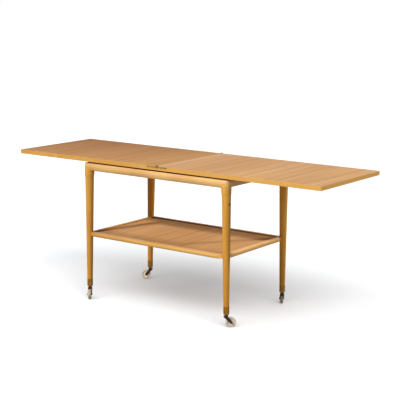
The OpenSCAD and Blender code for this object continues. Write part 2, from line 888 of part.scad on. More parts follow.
module horn(sx, sy, heading) {
  color(DARK) at_castor(sx, sy, heading) difference() {
    union() {
      for (side = SIDES) translate([0, side * (arm_in + arm_t / 2), 0])
        along_y(arm_t) round_link([0, arm_z], arm_r, [trail, wheel_r], boss_r);
      rotate_extrude() polygon([
        [0, crown_z], [crown_r, crown_z], [crown_r, neck_z], [neck_r, neck_top], [0, neck_top]
      ]);
    }
    on_axle() cylinder(h = 2 * arm_in, r = wheel_room, center = true);
    on_axle() cylinder(h = 4 * arm_out, r = axle_r + seat_gap, center = true);
    cylinder(h = foot_z, r = stem_r + seat_gap);
    rivet_shape(seat_gap);
  }
}

// Pin that holds the stem in the neck, with a domed head at the back
module rivet_shape(gap) {
  back = crown_r;
  translate([-back, 0, rivet_z]) rotate([0, 90, 0])
    cylinder(h = back - stem_r / 2 + gap, r = rivet_r + gap);
  translate([-back, 0, rivet_z]) rotate([0, -90, 0]) rotate_extrude() intersection() {
    translate([0, -gap]) circle(r = rivet_head_r);
    square(rivet_head_r);
  }
}

module rivet(sx, sy, heading) {
  color(DARK) at_castor(sx, sy, heading) rivet_shape(0);
}

module stem(sx, sy, heading) {
  low = crown_z + crown_h / 2;
  color(DARK) at_castor(sx, sy, heading) difference() {
    union() {
      translate([0, 0, low]) cylinder(h = foot_z + stem_up - low - past, r = stem_r);
      translate([0, 0, foot_z + stem_up - past])
        cylinder(h = past, r1 = stem_r, r2 = stem_r - past);
    }
    rivet_shape(seat_gap);
  }
}

// Axle with a domed end outside each arm
module axle(sx, sy, heading) {
  cap_r = axle_r + past;
  color(DARK) at_castor(sx, sy, heading) on_axle() {
    cylinder(h = 2 * arm_out, r = axle_r, center = true);
    for (side = [0, 1]) mirror([0, 0, side]) translate([0, 0, arm_out])
      rotate_extrude() intersection() {
        translate([0, -past]) circle(r = cap_r + past / 2);
        square(2 * cap_r);
      }
  }
}

module hub(sx, sy, heading) {
  disc_w = wheel_w - 2 * tyre_proud;
  boss_w = wheel_w + side_gap;
  color(CREAM) at_castor(sx, sy, heading) on_axle() difference() {
    union() {
      cylinder(h = disc_w, r = hub_r, center = true);
      cylinder(h = boss_w, r = boss_r, center = true);
    }
    cylinder(h = 2 * boss_w, r = axle_r + run_gap, center = true);
  }
}

module tyre(sx, sy, heading) {
  color(CREAM) at_castor(sx, sy, heading) on_axle() rotate_extrude() intersection() {
    soft_square(2 * wheel_r, wheel_w, tread_r);
    translate([hub_r, -wheel_w]) square(2 * wheel_w);
  }
}

leg(LEFT, FRONT);  // leg_front_left
leg(RIGHT, FRONT);  // leg_front_right
leg(LEFT, BACK);  // leg_back_left
leg(RIGHT, BACK);  // leg_back_right
long_top_rail(FRONT);  // top_rail_front
long_top_rail(BACK);  // top_rail_back
end_top_rail(LEFT);  // end_rail_left
end_top_rail(RIGHT);  // end_rail_right
guide_rail(FRONT);  // guide_rail_front
guide_rail(BACK);  // guide_rail_back
slip_strips();
long_shelf_rail(FRONT);  // shelf_rail_front
long_shelf_rail(BACK);  // shelf_rail_back
end_shelf_rail(LEFT);  // shelf_rail_left
end_shelf_rail(RIGHT);  // shelf_rail_right
shelf_panel();
ferrule(LEFT, FRONT);  // ferrule_front_left
ferrule(RIGHT, FRONT);  // ferrule_front_right
ferrule(LEFT, BACK);  // ferrule_back_left
ferrule(RIGHT, BACK);  // ferrule_back_right
castor_sockets();
right_leaf_panel();
right_leaf_lipping();
runner(FRONT);  // runner_front
runner(BACK);  // runner_back
runner_screws();
right_hinge_plate(FRONT);  // right_hinge_plate_front
right_hinge_plate(BACK);  // right_hinge_plate_back
hinge_pins();
hinge_screws(RIGHT);  // right_hinge_screws
left_leaf_panel();
left_leaf_lipping();
left_hinge_plate(FRONT);  // left_hinge_plate_front
left_hinge_plate(BACK);  // left_hinge_plate_back
hinge_screws(LEFT);  // left_hinge_screws
horn(LEFT, FRONT, trail_fl);  // horn_front_left
horn(RIGHT, FRONT, trail_fr);  // horn_front_right
horn(LEFT, BACK, trail_bl);  // horn_back_left
horn(RIGHT, BACK, trail_br);  // horn_back_right
stem(LEFT, FRONT, trail_fl);  // stem_front_left
stem(RIGHT, FRONT, trail_fr);  // stem_front_right
stem(LEFT, BACK, trail_bl);  // stem_back_left
stem(RIGHT, BACK, trail_br);  // stem_back_right
rivet(LEFT, FRONT, trail_fl);  // rivet_front_left
rivet(RIGHT, FRONT, trail_fr);  // rivet_front_right
rivet(LEFT, BACK, trail_bl);  // rivet_back_left
rivet(RIGHT, BACK, trail_br);  // rivet_back_right
axle(LEFT, FRONT, trail_fl);  // axle_front_left
axle(RIGHT, FRONT, trail_fr);  // axle_front_right
axle(LEFT, BACK, trail_bl);  // axle_back_left
axle(RIGHT, BACK, trail_br);  // axle_back_right
hub(LEFT, FRONT, trail_fl);  // hub_front_left
hub(RIGHT, FRONT, trail_fr);  // hub_front_right
hub(LEFT, BACK, trail_bl);  // hub_back_left
hub(RIGHT, BACK, trail_br);  // hub_back_right
tyre(LEFT, FRONT, trail_fl);  // tyre_front_left
tyre(RIGHT, FRONT, trail_fr);  // tyre_front_right
tyre(LEFT, BACK, trail_bl);  // tyre_back_left
tyre(RIGHT, BACK, trail_br);  // tyre_back_right
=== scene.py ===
"""Looks of a serving trolley with a fold-over, sliding top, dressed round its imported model."""

import json
import logging
import math
from dataclasses import KW_ONLY, dataclass, field
from enum import Enum
from typing import Any, Callable, Optional, Sequence, Union

import bmesh
import bpy
from mathutils import Euler, Matrix, Quaternion, Vector


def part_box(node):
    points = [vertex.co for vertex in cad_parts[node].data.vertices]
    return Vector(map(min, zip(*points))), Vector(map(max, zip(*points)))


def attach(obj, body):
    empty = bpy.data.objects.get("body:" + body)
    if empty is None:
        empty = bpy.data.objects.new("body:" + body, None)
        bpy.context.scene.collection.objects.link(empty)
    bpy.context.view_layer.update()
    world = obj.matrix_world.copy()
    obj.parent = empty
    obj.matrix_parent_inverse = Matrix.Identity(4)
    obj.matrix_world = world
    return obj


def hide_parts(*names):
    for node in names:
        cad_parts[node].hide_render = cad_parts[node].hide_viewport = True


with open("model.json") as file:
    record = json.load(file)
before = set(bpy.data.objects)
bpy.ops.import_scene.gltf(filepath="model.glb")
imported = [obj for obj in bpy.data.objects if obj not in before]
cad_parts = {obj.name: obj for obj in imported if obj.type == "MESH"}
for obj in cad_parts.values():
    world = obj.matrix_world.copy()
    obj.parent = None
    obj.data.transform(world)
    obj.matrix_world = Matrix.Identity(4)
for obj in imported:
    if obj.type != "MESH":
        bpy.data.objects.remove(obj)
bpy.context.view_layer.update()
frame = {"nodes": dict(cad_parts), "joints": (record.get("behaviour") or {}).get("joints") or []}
NODES = frame["nodes"]
LOG = logging.getLogger("trolley")

Colour = tuple[float, float, float]
Point = tuple[float, float, float]
Stops = Sequence[tuple[float, float]]
CORNERS = ("front_left", "front_right", "back_left", "back_right")
ENDS = ("front", "back")
SIDES = ("left", "right")

# Two points of a mesh that are this near to each other, in metres, are one.
TOUCHING = 1e-6
# A Mix node's colour sockets go by number, because their names repeat.
MIX_SHARE, MIX_FIRST, MIX_SECOND, MIX_COLOUR = 0, 6, 7, 2


def paint(red: int, green: int, blue: int) -> Colour:
    """Turns a colour as a screen shows it into the linear colour that a shader takes.

    Args:
        red: Red part, 0 to 255.
        green: Green part, 0 to 255.
        blue: Blue part, 0 to 255.

    Returns:
        The linear colour.
    """
    def linear(part: int) -> float:
        """Turns one part of the colour, by the standard curve of screens."""
        share = part / 255
        return share / 12.92 if share <= 0.04045 else ((share + 0.055) / 1.055) ** 2.4
    return linear(red), linear(green), linear(blue)


def facing(aim: Sequence[float]) -> Quaternion:
    """Returns the turn that points a shape's own +Z along a direction."""
    return Vector(aim).to_track_quat("Z", "X")


def add_object(name: str, data: bpy.types.ID) -> bpy.types.Object:
    """Puts a new object with its data into the scene, at the origin.

    Args:
        name: The object's name.
        data: Its mesh, lamp or camera.

    Returns:
        The object.
    """
    made = bpy.data.objects.new(name, data)
    bpy.context.scene.collection.objects.link(made)
    return made


class Grain(Enum):
    """The direction that a piece's grain runs in, as the index of its coordinate."""

    ALONG = 0
    ACROSS = 1
    UPRIGHT = 2


class Lit(Enum):
    """What a studio lamp falls on, as the state of the floor in its list."""

    FLOOR = "INCLUDE"
    TROLLEY = "EXCLUDE"


class Value:
    """A socket that adds its Math nodes when it is used in an expression."""

    def __init__(self, graph: "Graph", socket: bpy.types.NodeSocket) -> None:
        """Wraps an output socket of a node tree."""
        self.graph = graph
        self.socket = socket

    def __add__(self, other: "Number") -> "Value":
        """Returns the sum."""
        return self.graph.math("ADD", self, other)

    __radd__ = __add__

    def __mul__(self, other: "Number") -> "Value":
        """Returns the product."""
        return self.graph.math("MULTIPLY", self, other)

    __rmul__ = __mul__

    def __sub__(self, other: "Number") -> "Value":
        """Returns the difference."""
        return self.graph.math("SUBTRACT", self, other)

    def __rsub__(self, other: "Number") -> "Value":
        """Returns the difference, with the socket taken away."""
        return self.graph.math("SUBTRACT", other, self)

    def __truediv__(self, other: "Number") -> "Value":
        """Returns the quotient."""
        return self.graph.math("DIVIDE", self, other)

    def __gt__(self, other: "Number") -> "Value":
        """Returns 1 where the socket is the greater, and 0 elsewhere."""
        return self.graph.math("GREATER_THAN", self, other)

    def __lt__(self, other: "Number") -> "Value":
        """Returns 1 where the socket is the smaller, and 0 elsewhere."""
        return self.graph.math("LESS_THAN", self, other)

    def __abs__(self) -> "Value":
        """Returns the size without its sign."""
        return self.graph.math("ABSOLUTE", self)


Number = Union[Value, float, int]


@dataclass
class Look:
    """What a finish gives a surface: its colour, gloss and relief."""

    colour: Value
    rough: Number
    coat: Number
    relief: Value


class Graph:
    """A node tree and the few ways in which its nodes are made."""

    def __init__(self, tree: bpy.types.NodeTree) -> None:
        """Takes a node tree to work on."""
        self.tree = tree

    def node(
        self, kind: str, settings: Optional[dict[str, Any]] = None,
        sockets: Optional[dict[Union[str, int], Any]] = None, out: Union[str, int] = 0,
    ) -> Value:
        """Adds any node.

        Args:
            kind: The node's type.
            settings: The node's own settings, set first. "stops" holds a ramp's stops.
            sockets: What each input is set to or linked from, by name or number.
            out: The output that is returned.

        Returns:
            The wrapped output.
        """
        made = self.tree.nodes.new(kind)
        for key, setting in (settings or {}).items():
            if key == "stops":
                self._stops(made.color_ramp, setting)
            else:
                setattr(made, key, setting)
        for key, value in (sockets or {}).items():
            if isinstance(value, Value):
                self.tree.links.new(value.socket, made.inputs[key])
            elif isinstance(value, tuple) and made.inputs[key].type == "RGBA":
                made.inputs[key].default_value = (*value[:3], 1.0)
            else:
                made.inputs[key].default_value = value
        return Value(self, made.outputs[out])

    @staticmethod
    def _stops(ramp: bpy.types.ColorRamp, stops: Stops) -> None:
        """Sets a ramp's stops.

        Args:
            ramp: The ramp.
            stops: The place of each stop and its level of grey.
        """
        while len(ramp.elements) < len(stops):
            ramp.elements.new(1.0)
        for element, (place, level) in zip(ramp.elements, stops):
            element.position = place
            element.color = (level, level, level, 1.0)

    def math(self, operation: str, *values: Number) -> Value:
        """Adds a Math node."""
        return self.node("ShaderNodeMath", {"operation": operation}, dict(enumerate(values)))

    def join(self, x: Number, y: Number, z: Number) -> Value:
        """Joins three coordinates into a vector."""
        return self.node("ShaderNodeCombineXYZ", {}, {0: x, 1: y, 2: z})


class Shader(Graph):
    """A material's node tree."""

    bump_strength: float = 0.6

    def __init__(self, name: str) -> None:
        """Starts a material with its output node alone.

        Args:
            name: The material's name.
        """
        self.material = bpy.data.materials.new(name)
        self.material.use_nodes = True
        super().__init__(self.material.node_tree)
        self.tree.nodes.clear()
        self.end = self.tree.nodes.new("ShaderNodeOutputMaterial")

    def mix(self, share: Number, first: Any, second: Any) -> Value:
        """Mixes two colours.

        Args:
            share: The share of the second colour.
            first: The first colour.
            second: The second colour.

        Returns:
            The mixed colour.
        """
        settings = {"data_type": "RGBA", "clamp_factor": True}
        return self.node("ShaderNodeMix", settings, {
            MIX_SHARE: share, MIX_FIRST: first, MIX_SECOND: second}, MIX_COLOUR)

    def ramp(self, value: Value, *stops: tuple[float, float]) -> Value:
        """Bends a value along a ramp of (place, level) stops."""
        return self.node("ShaderNodeValToRGB", {"stops": stops}, {0: value})

    def here(self) -> Value:
        """Returns the piece's own coordinates."""
        return self.node("ShaderNodeTexCoord", out="Object")

    def place(self, shift: Point = (0, 0, 0), turn: Point = (0, 0, 0)) -> Value:
        """Shifts and turns the piece's own coordinates."""
        settings = {"Vector": self.here(), "Location": shift, "Rotation": turn}
        return self.node("ShaderNodeMapping", {}, settings)

    def split(self, vector: Value) -> tuple[Value, Value, Value]:
        """Splits a vector into its three coordinates."""
        first = self.node("ShaderNodeSeparateXYZ", {}, {0: vector})
        return tuple(Value(self, output) for output in first.socket.node.outputs)

    def noise(self, vector: Value, scale: float, detail: float = 2.0,
              rough: float = 0.5, warp: float = 0.0) -> Value:
        """Adds smooth noise.

        Args:
            vector: Where the noise is read.
            scale: How many patches there are to one unit of the vector.
            detail: How many finer layers it has.
            rough: How strong the finer layers are.
            warp: How far the patches are twisted.

        Returns:
            The noise, about 0.5 on average.
        """
        return self.node("ShaderNodeTexNoise", {}, {
            "Vector": vector, "Scale": scale, "Detail": detail, "Roughness": rough,
            "Distortion": warp})

    def from_axle(self, centre: Point, axle: Point) -> Value:
        """Measures a point of a wheel from the wheel's axle.

        Args:
            centre: The middle of the wheel.
            axle: The direction of the axle, one long.

        Returns:
            The distance from the axle's line.
        """
        spoke = self.node(
            "ShaderNodeVectorMath", {"operation": "SUBTRACT"}, {0: self.here(), 1: centre})
        along = self.node(
            "ShaderNodeVectorMath", {"operation": "DOT_PRODUCT"}, {0: spoke, 1: axle}, "Value")
        length = self.node("ShaderNodeVectorMath", {"operation": "LENGTH"}, {0: spoke}, "Value")
        return self.math("SQRT", length * length - along * along)

    def near(self, point: Point, reach: float) -> Value:
        """Measures how near a place is to a point of the piece.

        Args:
            point: The point.
            reach: How far from the point the result comes down to 0, in metres.

        Returns:
            1 round the point, fading to 0 at the reach.
        """
        ends = {0: self.here(), 1: point}
        away = self.node("ShaderNodeVectorMath", {"operation": "DISTANCE"}, ends, "Value")
        return self.ramp(away / reach, (0.3, 1.0), (1.0, 0.0))

    def blend(self, share: Value, first: Look, second: Look) -> Look:
        """Mixes two looks.

        Args:
            share: The share of the second look.
            first: The first look.
            second: The second look.

        Returns:
            The mixed look.
        """
        def between(start: Number, stop: Number) -> Value:
            """Mixes two numbers by the same share."""
            return (1 - share) * start + share * stop
        return Look(
            self.mix(share, first.colour, second.colour), between(first.rough, second.rough),
            between(first.coat, second.coat), between(first.relief, second.relief))

    def surface(self, look: Look, depth: float, **sockets: Any) -> bpy.types.Material:
        """Ends the tree in a Principled BSDF.

        Args:
            look: What varies over the surface.
            depth: The depth of the relief in metres, from 0 to 1.
            **sockets: The other inputs by name, with underscores for spaces.

        Returns:
            The finished material.
        """
        named = {key.replace("_", " "): value for key, value in sockets.items()}
        bent = self.node("ShaderNodeBump", {}, {
            "Height": look.relief, "Distance": depth, "Strength": self.bump_strength})
        bsdf = self.node("ShaderNodeBsdfPrincipled", {}, {
            "Base Color": look.colour, "Roughness": look.rough, "Coat Weight": look.coat,
            "Normal": bent, **named})
        self.tree.links.new(bsdf.socket, self.end.inputs["Surface"])
        return self.material


class Network(Graph):
    """A Geometry Nodes tree with named inputs for its sizes."""

    def __init__(self, name: str) -> None:
        """Starts a tree that takes seeds and gives a shape.

        Args:
            name: The tree's name.
        """
        super().__init__(bpy.data.node_groups.new(name, "GeometryNodeTree"))
        self.tree.interface.new_socket(
            "Seeds", in_out="INPUT", socket_type="NodeSocketGeometry")
        self.tree.interface.new_socket(
            "Shape", in_out="OUTPUT", socket_type="NodeSocketGeometry")
        self.entry = self.tree.nodes.new("NodeGroupInput")
        self.exit = self.tree.nodes.new("NodeGroupOutput")
        self.keys: dict[str, str] = {}
        self.seeds = Value(self, self.entry.outputs["Seeds"])

    def size(self, name: str, kind: str = "Float") -> Value:
        """Adds a named input.

        Args:
            name: The input's name.
            kind: What it takes, such as Float, Vector or Material.

        Returns:
            The input, for use in the tree.
        """
        made = self.tree.interface.new_socket(
            name, in_out="INPUT", socket_type=f"NodeSocket{kind}")
        self.keys[name] = made.identifier
        return Value(self, self.entry.outputs[name])

    def end(self, shape: Value, material: Value) -> None:
        """Ends the tree in a plain shape with its material.

        Args:
            shape: The shape, which may hold instances.
            material: The input that brings its material.
        """
        real = self.node("GeometryNodeRealizeInstances", {}, {0: shape})
        dressed = self.node("GeometryNodeSetMaterial", {}, {0: real, "Material": material})
        self.tree.links.new(dressed.socket, self.exit.inputs[0])

    def grow(self, name: str, seeds: bpy.types.Mesh, sizes: dict[str, Any]) -> bpy.types.Object:
        """Runs the tree on a mesh of seeds and keeps the result as a plain mesh.

        Args:
            name: The finished piece's name.
            seeds: The mesh that the tree starts from.
            sizes: The tree's named inputs.

        Returns:
            The piece, at the origin.
        """
        piece = add_object(name, seeds)
        modifier = piece.modifiers.new("network", "NODES")
        modifier.node_group = self.tree
        for label, value in sizes.items():
            modifier[self.keys[label]] = value
        grown = piece.evaluated_get(bpy.context.evaluated_depsgraph_get())
        mesh = bpy.data.meshes.new_from_object(grown)
        finish = next(slot for slot in mesh.materials if slot)
        mesh.materials.clear()
        mesh.materials.append(finish)
        mesh.polygons.foreach_set("material_index", [0] * len(mesh.polygons))
        piece.modifiers.remove(modifier)
        piece.data = mesh
        mesh.name = name
        LOG.info("grew %s with %d faces", name, len(mesh.polygons))
        return piece


@dataclass(frozen=True)
class Vein:
    """Noise drawn out along the grain: how fine it is each way, and how it is layered."""

    fine: Point
    scale: float = 1.0
    detail: float = 2.0
    rough: float = 0.5

    def draw(self, shader: Shader, *place: Value) -> Value:
        """Draws the noise at a place that is given by its three coordinates."""
        parts = (part * fine for part, fine in zip(place, self.fine))
        return shader.noise(shader.join(*parts), self.scale, self.detail, self.rough)


# Solid wood, by its coordinates across, into and along the grain.
WANDER = Vein((9, 9, 2.2), detail=3.0)
FIBRE = Vein((60, 60, 1.4), 22.0, 3.0, 0.6)
FLECK = Vein((90, 90, 3.5), 14.0, 1.0)
STREAK = Vein((75, 75, 5.0), rough=0.6)
CLOUD = Vein((8, 8, 5.0))
RING = ((0.0, 0.15), (0.62, 0.45), (0.86, 1.0), (1.0, 0.15))
PORES = ((0.62, 0.0), (0.74, 1.0))
# Veneer, by its coordinates across, along and into the grain.
SHEET_DRIFT = Vein((5.0, 0.8, 1.0))
SHEET_BAND = Vein((1.0, 1.1, 1.0), rough=0.55)
SHEET_LINE = Vein((2.7, 2.0, 1.0))
SHEET_FIBRE = Vein((420, 9, 420), detail=3.0, rough=0.65)
SHEET_FLECK = Vein((900, 34, 900), detail=1.0)
SHEET_STRIPES = ((0.54, 0.0), (0.68, 1.0))
SHEET_PORES = ((0.62, 0.0), (0.76, 1.0))
# How a material's short mark is made from the place that its piece was cut.
MARK_BY = (97, 53, 31)


@dataclass(frozen=True, kw_only=True)
class Oiled:
    """How wood under oil takes its gloss and its relief from its fibres and pores."""

    rough: float = 0.36
    fibre_rough: float = 0.22
    pore_rough: float = 0.12
    coat: float = 0.06
    coat_rough: float = 0.26
    sheen: float = 0.14
    depth: float = 0.00012
    fibre_relief: float = 0.6
    pore_relief: float = 0.7

    def oil(self, body: Value, fibre: Value, pores: Value) -> Look:
        """Builds the whole finish on its colour.

        Args:
            body: The colour.
            fibre: The noise of the fibres.
            pores: The share of pores, 1 where there is one.

        Returns:
            The look.
        """
        return Look(
            body, self.rough + (fibre - 0.5) * self.fibre_rough + pores * self.pore_rough,
            self.coat - pores * (self.coat / 2),
            fibre * self.fibre_relief - pores * self.pore_relief + 0.5)

    def finish(self, shader: Shader, look: Look) -> bpy.types.Material:
        """Ends a shader as oiled wood."""
        return shader.surface(look, self.depth, Coat_Roughness=self.coat_rough,
                              Specular_IOR_Level=self.sheen)


@dataclass(frozen=True)
class Timber(Oiled):
    """Solid wood under oil: growth rings, streaks, fibres and pores along one axis.

    ring, heart, wander, foot_h and lid are in metres. foot and fade say how much darker the
    wood gets with each metre below foot_h and with each metre to the left: painted shade for the
    light falling off downwards and towards the left. lid is the band below a top face that is
    painted dark as the shade under the leaves.
    """

    name: str
    light: Colour
    dark: Colour
    pore: Colour
    _: KW_ONLY
    ring: float = 0.0032
    heart: tuple[float, float] = (0.05, 0.03)
    wander: float = 0.022
    runout: float = 0.0
    contrast: float = 0.4
    fibres: float = 0.5
    streaks: float = 0.7
    clouds: float = 0.55
    pores: float = 0.42
    level: float = 0.06
    foot: float = 0.0
    foot_h: float = 0.6
    fade: float = 0.0
    top_shade_h: float = 0.0018

    def look(self, shader: Shader, along: Value, side: Value, deep: Value,
             painted_shade_and_grime: Number = 0.0) -> Look:
        """Builds the finish on coordinates along, across and into the board.

        Args:
            shader: The shader to build in.
            along: Metres along the grain.
            side: Metres across the grain.
            deep: Metres across the grain, the other way.
            painted_shade_and_grime: How much darker than usual a place is, as painted shade.

        Returns:
            The look.
        """
        wander = WANDER.draw(shader, side, deep, along) - 0.5
        offside = side - self.heart[0]
        offdeep = deep - self.heart[1]
        radius = shader.math("SQRT", offside * offside + offdeep * offdeep) + wander * self.wander
        phase = shader.math("FRACT", (radius + along * self.runout) / self.ring)
        ring = shader.ramp(phase, *RING)
        fibre = FIBRE.draw(shader, side, deep, along)
        pores = shader.ramp(FLECK.draw(shader, side, deep, along), *PORES)
        streak = STREAK.draw(shader, side, deep, along)
        cloud = CLOUD.draw(shader, side, deep, along)
        share = (ring * self.contrast + (fibre - 0.5) * self.fibres
                 + (streak - 0.5) * self.streaks + (cloud - 0.5) * self.clouds)
        body = shader.mix(share + painted_shade_and_grime + self.level, self.light, self.dark)
        return self.oil(shader.mix(pores * self.pores, body, self.pore), fibre, pores)

    def cut(self, shader: Shader, axis: Grain, shift: Point, slant: float = 0.0,
            top: float = 1.0, dark: float = 0.0) -> Look:
        """Builds the finish as one piece was cut from the log.

        Args:
            shader: The shader to build in.
            axis: The direction of the grain.
            shift: Where in the log the piece was cut, in metres.
            slant: How far the grain leans from the axis, in degrees.
            top: The height of a top face under the leaves, below which a band is painted dark as
                shade.
            dark: How much darker than usual the whole piece is, as painted shade; below 0 it
                paints the piece lighter, as painted light.

        Returns:
            The look.
        """
        lean = math.radians(slant)
        turn = (lean, 0, 0) if axis is Grain.ACROSS else (0, lean, 0)
        parts = shader.split(shader.place(shift, turn))
        side, deep = (parts[i] for i in range(3) if i != axis.value)
        x, _, z = shader.split(shader.place())
        # Painted shade: darker below foot_h and towards the left, where the light falls off, and
        # darker by the piece's painted tone.
        painted_shade_and_grime = (self.foot_h - z) * self.foot - x * self.fade + dark
        look = self.look(shader, parts[axis.value], side, deep, painted_shade_and_grime)
        # A band just below the top face is painted in the pore colour, as painted shade in the
        # gap under the leaves.
        look.colour = shader.mix(z > top - self.top_shade_h, look.colour, self.pore)
        return look

    def material(self, axis: Grain, shift: Point, **cut: float) -> bpy.types.Material:
        """Makes the finish for one piece, cut as the other values say."""
        shader = Shader(f"{self.name}_{axis.name.lower()}_{mark(shift):03d}")
        return self.finish(shader, self.cut(shader, axis, shift, **cut))


def mark(shift: Point) -> int:
    """Returns a short number for a point, the same in each run."""
    return int(sum(abs(part) * by for part, by in zip(shift, MARK_BY)) * 10) % 1000


@dataclass(frozen=True)
class Veneer(Oiled):
    """Straight-grained veneer from front to back: figure lines, fibres and drifts of tone.

    pale_w is the width of a paler strip at the panel's left, and pitch that of the figure, in
    metres. sheet_shade_right and sheet_shade_back say how much darker the veneer is with each
    metre that way,
    on top of aged: painted shade and painted light for how the light falls across the panel.
    """

    name: str
    light: Colour
    mid: Colour
    dark: Colour
    shift: Point
    _: KW_ONLY
    pale: Colour = (0.0, 0.0, 0.0)
    pale_w: float = 0.0
    pale_share: float = 0.0
    pale_ragged: float = 0.4
    pitch: float = 0.021
    bands: float = 0.42
    figure: float = 0.22
    fibres: float = 0.5
    pores: float = 0.24
    drifts: float = 0.2
    sheet_shade: float = 0.0
    sheet_shade_right: float = 0.0
    sheet_shade_back: float = 0.0
    rough: float = 0.5
    fibre_rough: float = 0.2
    pore_rough: float = 0.0
    coat: float = 0.03
    coat_rough: float = 0.38
    sheen: float = 0.05
    depth: float = 0.00008
    fibre_relief: float = 0.5
    pore_relief: float = 0.6

    def look(self, shader: Shader) -> Look:
        """Builds the finish on the trolley's own coordinates.

        Args:
            shader: The shader to build in.

        Returns:
            The look.
        """
        x, y, z = shader.split(shader.place(self.shift))
        right, back = x - self.shift[0], y - self.shift[1]
        drift = SHEET_DRIFT.draw(shader, x, y, z)
        bands = SHEET_BAND.draw(shader, x / self.pitch, y, z)
        lines = SHEET_LINE.draw(shader, x / self.pitch, y, z)
        fibre = SHEET_FIBRE.draw(shader, x, y, z)
        pores = shader.ramp(SHEET_FLECK.draw(shader, x, y, z), *SHEET_PORES)
        body = shader.mix(shader.ramp(drift, (0.3, 0.0), (0.7, 1.0)), self.light, self.mid)
        body = shader.mix(shader.ramp(bands, (0.4, 0.0), (0.8, self.bands)), body, self.dark)
        body = shader.mix(shader.ramp(lines, *SHEET_STRIPES) * self.figure, body, self.dark)
        # Painted shade and painted light: the veneer is darker or lighter across the panel by
        # aged, sheet_shade_right and sheet_shade_back, for how the light falls on it.
        sheet_shade = right * self.sheet_shade_right + back * self.sheet_shade_back + self.sheet_shade
        body = shader.mix(sheet_shade + (drift - 0.5) * self.drifts, body, self.dark)
        body = shader.mix((fibre - 0.45) * self.fibres, body, self.dark)
        if self.pale_w:
            into = right / self.pale_w + (bands - 0.5) * self.pale_ragged
            strip = shader.ramp(into, (0.0, 0.9), (0.45, 1.0), (1.0, 0.0))
            body = shader.mix(strip * self.pale_share, body, self.pale)
        return self.oil(shader.mix(pores * self.pores, body, self.dark), fibre, pores)

    def material(self) -> bpy.types.Material:
        """Makes the finish for one panel."""
        shader = Shader(self.name)
        return self.finish(shader, self.look(shader))


@dataclass(frozen=True)
class Metal:
    """Metal with a tarnish that lies in clouds, and fine rubbed scratches."""

    name: str
    bright: Colour
    tarnish: Colour
    spread: float = 0.5
    rough: float = 0.35
    metallic: float = 1.0
    cloud_size: float = 0.006
    rub_fine: float = 900.0
    rubbed: float = 0.5
    tarnish_rough: float = 0.2
    rub_rough: float = 0.15
    dulled: float = 0.35
    depth: float = 0.00005

    def look(self, shader: Shader, tarnish: Number = 0.0) -> tuple[Look, Value]:
        """Builds the finish.

        Args:
            shader: The shader to build in.
            tarnish: How much more tarnished than usual a place is.

        Returns:
            The look, and the share of tarnish.
        """
        where = shader.place()
        clouds = shader.noise(where, 1 / self.cloud_size, 4.0, 0.6, 0.4)
        rubs = shader.noise(where, self.rub_fine, 2.0, 0.7)
        share = shader.ramp(
            clouds + tarnish, (0.5 - self.spread / 2, 0.0), (0.5 + self.spread / 3, 1.0))
        body = shader.mix(share, self.bright, self.tarnish)
        body = shader.mix((rubs - 0.5) * self.rubbed, body, self.bright)
        rough = self.rough + share * self.tarnish_rough + (rubs - 0.5) * self.rub_rough
        return Look(body, rough, 0.0, clouds * 0.5 + rubs * 0.3), share

    def finish(self, shader: Shader, look: Look, share: Value) -> bpy.types.Material:
        """Ends a shader as this metal."""
        return shader.surface(look, self.depth, Metallic=self.metallic - share * self.dulled)

    def material(self) -> bpy.types.Material:
        """Makes the finish for a whole piece."""
        shader = Shader(self.name)
        return self.finish(shader, *self.look(shader))


@dataclass(frozen=True)
class Moulded:
    """Cream plastic that has yellowed, and holds grime where it is rubbed or hard to clean.

    dirt_from and dirt_to are distances from the axle, in metres, between which grime gathers.
    """

    name: str
    clean: Colour
    grimy: Colour
    dirt_from: float
    dirt_to: float
    rough: float = 0.42
    share: float = 0.5
    rub: float = 0.8
    ragged: float = 0.9
    cloud_fine: float = 140.0
    speck_fine: float = 620.0
    grime_rough: float = 0.18
    sheen: float = 0.4
    depth: float = 0.00004

    def material(self, corner: str, centre: Point, axle: Point) -> bpy.types.Material:
        """Makes the finish for one wheel's piece.

        Args:
            corner: The wheel's corner of the trolley.
            centre: The middle of the wheel.
            axle: The direction of its axle.

        Returns:
            The material.
        """
        shader = Shader(f"{self.name}_{corner}")
        radial = shader.from_axle(centre, axle)
        where = shader.place()
        clouds = shader.noise(where, self.cloud_fine, 4.0, 0.62)
        specks = shader.noise(where, self.speck_fine, 3.0, 0.7)
        painted_shade_and_grime = (radial - self.dirt_from) / (self.dirt_to - self.dirt_from)
        band = shader.ramp(painted_shade_and_grime + (clouds - 0.5) * self.ragged, (0.35, 0.0), (1.0, 1.0))
        grime = shader.ramp(clouds * 0.7 + specks * 0.3, (0.42, 0.0), (0.68, 1.0))
        body = shader.mix(grime * self.share, self.clean, self.grimy)
        body = shader.mix(band * self.rub, body, self.grimy)
        look = Look(body, self.rough + grime * self.grime_rough, 0.0, specks)
        return shader.surface(look, self.depth, Specular_IOR_Level=self.sheen)


TEAK = Timber("oiled_timber", paint(232, 171, 74), paint(174, 109, 27), paint(102, 54, 10),
              coat=0.05, foot=0.9, foot_h=0.52)
WILD = Timber("wild_timber", paint(242, 182, 82), paint(168, 101, 25), paint(98, 51, 10),
              ring=0.016, heart=(-1.3, -0.94), contrast=0.7, streaks=0.4, clouds=0.4,
              runout=1.25, coat=0.05, foot=0.6, foot_h=0.55)
